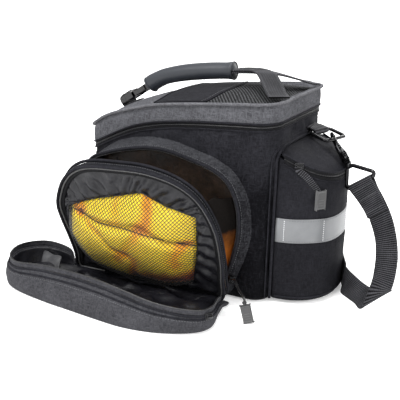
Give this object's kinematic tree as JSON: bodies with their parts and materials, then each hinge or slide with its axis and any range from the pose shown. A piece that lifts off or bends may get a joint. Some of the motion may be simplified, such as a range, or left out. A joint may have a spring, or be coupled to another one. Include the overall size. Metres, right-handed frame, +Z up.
{
  "type": "bicycle trunk bag",
  "caption": "Padded rear-rack bag with a sloping lid, grip handle, rear pocket, shoulder strap and a side pocket folded open.",
  "frame": {"origin": "centre of the main body's flat base, on the floor", "axes": "+X to the rear pocket, -Y to the opened side pocket, +Z up"},
  "size_m": [0.4763, 0.4196, 0.2789],
  "materials": {
    "fabric": "matte woven polyester, near black",
    "lighter_fabric": "matte woven polyester, dark grey",
    "lining": "smooth black nylon",
    "air_mesh": "ribbed air mesh, black",
    "zip_tape": "coil zip, black",
    "net": "coarse net",
    "orange_lining": "thin coated lining, orange brown",
    "yellow_cover": "thin coated nylon, yellow",
    "reflective": "reflective grey tape",
    "foam_grip": "matte foam",
    "webbing": "ribbed webbing, black",
    "grey_tab": "grey tape",
    "plastic": "moulded, black",
    "grey_rubber": "moulded, grey",
    "cord": "braided cord, black",
    "dark_metal": "black coated metal, satin"
  },
  "bodies": {
    "bag": {"main_body": "fabric", "lid": "fabric", "rear_pocket": "fabric", "rear_pocket_lid": "fabric", "outer_flap": "fabric", "pocket_panel": "fabric", "right_pocket": "fabric", "lid_piping": "fabric", "rear_pocket_piping": "fabric", "lid_strip": "lighter_fabric", "pocket_frame": "lighter_fabric", "pocket_hem": "lining", "pocket_frame_piping": "lining", "panel_piping": "lining", "lid_mesh": "air_mesh", "lid_zipper": "zip_tape", "rear_pocket_zipper": "zip_tape", "flap_zipper": "zip_tape", "right_pocket_zipper": "zip_tape", "pocket_net": "net", "gusset_rear": "orange_lining", "gusset_front": "orange_lining", "rain_cover": "yellow_cover", "reflective_band": "reflective", "handle_grip": "foam_grip", "handle_leg_left": "webbing", "handle_leg_right": "webbing", "handle_front_loop": "webbing", "rear_tab": "webbing", "rear_pull": "webbing", "shoulder_strap": "webbing", "front_tab": "webbing", "flap_tab": "grey_tab", "handle_buckle": "plastic", "front_clasp": "plastic", "rear_pull_tip": "grey_rubber", "panel_pull_tip": "grey_rubber", "panel_pull": "cord", "rear_ring": "dark_metal", "snap_hook": "dark_metal", "swivel_eye": "dark_metal", "front_ring": "dark_metal", "rear_slider": "dark_metal", "panel_slider": "dark_metal", "flap_slider": "dark_metal"},
    "gate": {"snap_hook_gate": "dark_metal"}
  },
  "joints": [
    {"name": "gate_hinge", "type": "hinge", "parent": "bag", "child": "gate", "pos_m": [0.18773, 0.00678, 0.18018], "axis": [-0.7519, -0.5113, -0.416], "range_deg": [0, 22], "stiffness_Nm_per_rad": 0.01, "springref_deg": -11.46}
  ]
}
